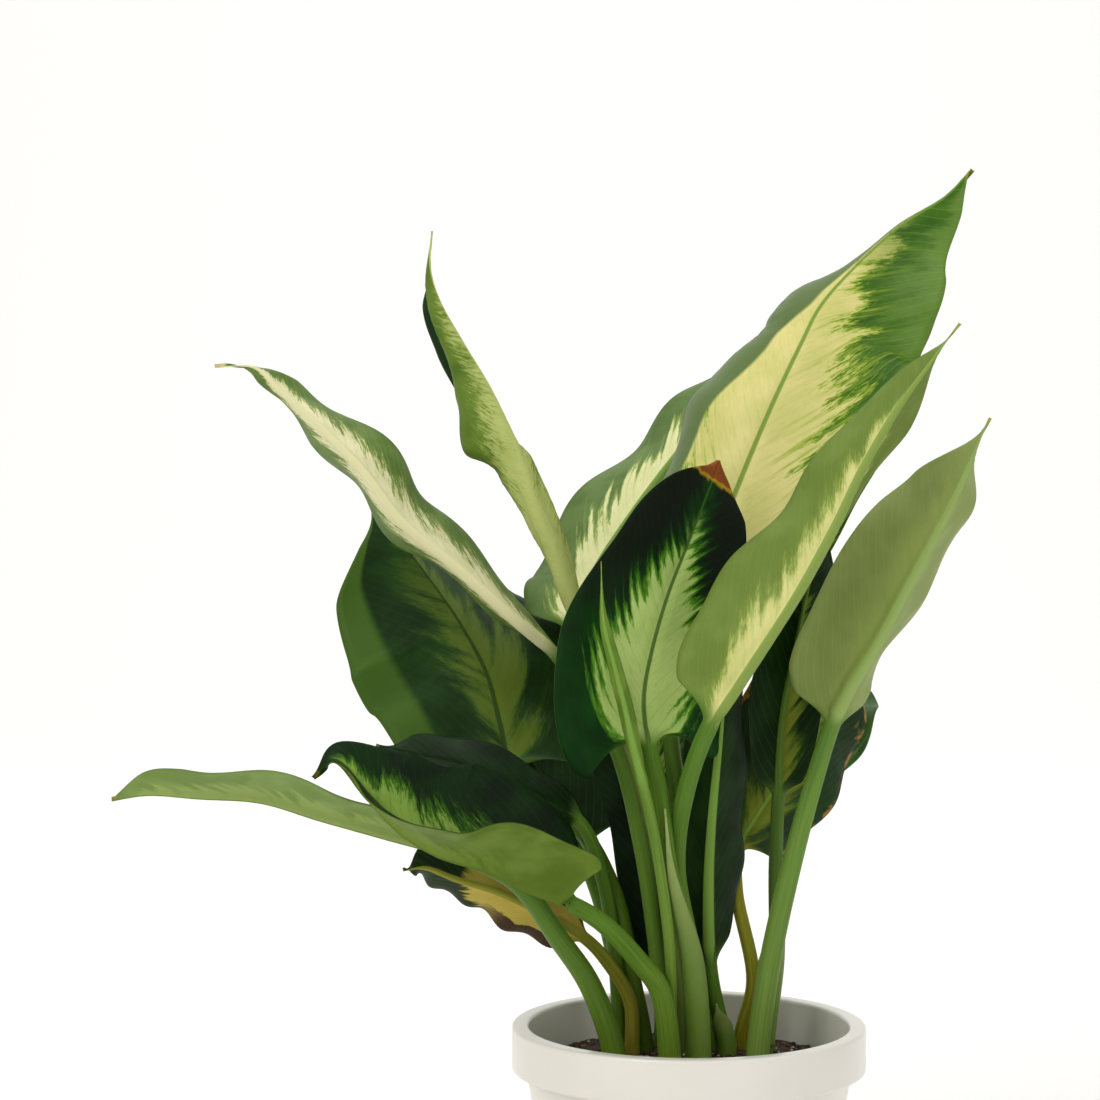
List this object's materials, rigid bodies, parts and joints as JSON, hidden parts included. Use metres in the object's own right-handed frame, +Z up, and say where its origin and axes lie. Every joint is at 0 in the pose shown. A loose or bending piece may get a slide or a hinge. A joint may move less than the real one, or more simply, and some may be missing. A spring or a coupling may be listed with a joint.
{
  "type": "potted dieffenbachia",
  "caption": "Leafy house plant with long pointed, cream-centred leaves on upright stalks, standing in soil in a plain round pot.",
  "frame": {"origin": "middle of the pot's flat underside, on the surface that the pot stands on", "axes": "+Z up through the middle of the pot; +X to the right and +Y away from the viewer, seen from the front"},
  "size_m": [0.3619, 0.2404, 0.4881],
  "materials": {
    "pot": "satin",
    "soil": "matte",
    "leaf_cream": "satin",
    "leaf_underside": "satin",
    "leaf_young": "satin",
    "leaf_dark": "satin",
    "leaf_pale": "satin",
    "leaf_old": "matte"
  },
  "bodies": {
    "root": {"pot": "pot", "soil": "soil", "leaf_upper_right": "leaf_cream", "leaf_upper_back": "leaf_underside", "leaf_upper_left": "leaf_underside", "leaf_rolled_young": "leaf_young", "leaf_front_dark": "leaf_dark", "leaf_front_slim": "leaf_young", "leaf_front_right": "leaf_underside", "leaf_right_pale": "leaf_pale", "leaf_left_dark": "leaf_dark", "leaf_low_left": "leaf_pale", "leaf_low_left_dark": "leaf_dark", "leaf_low_left_old": "leaf_old", "leaf_back_right_old": "leaf_old", "leaf_inner_folded": "leaf_dark", "leaf_right_inner": "leaf_dark", "leaf_left_inner": "leaf_dark", "leaf_shade_inner": "leaf_dark", "leaf_back_left": "leaf_cream", "leaf_back_middle": "leaf_dark", "leaf_back_right": "leaf_cream"}
  },
  "joints": []
}
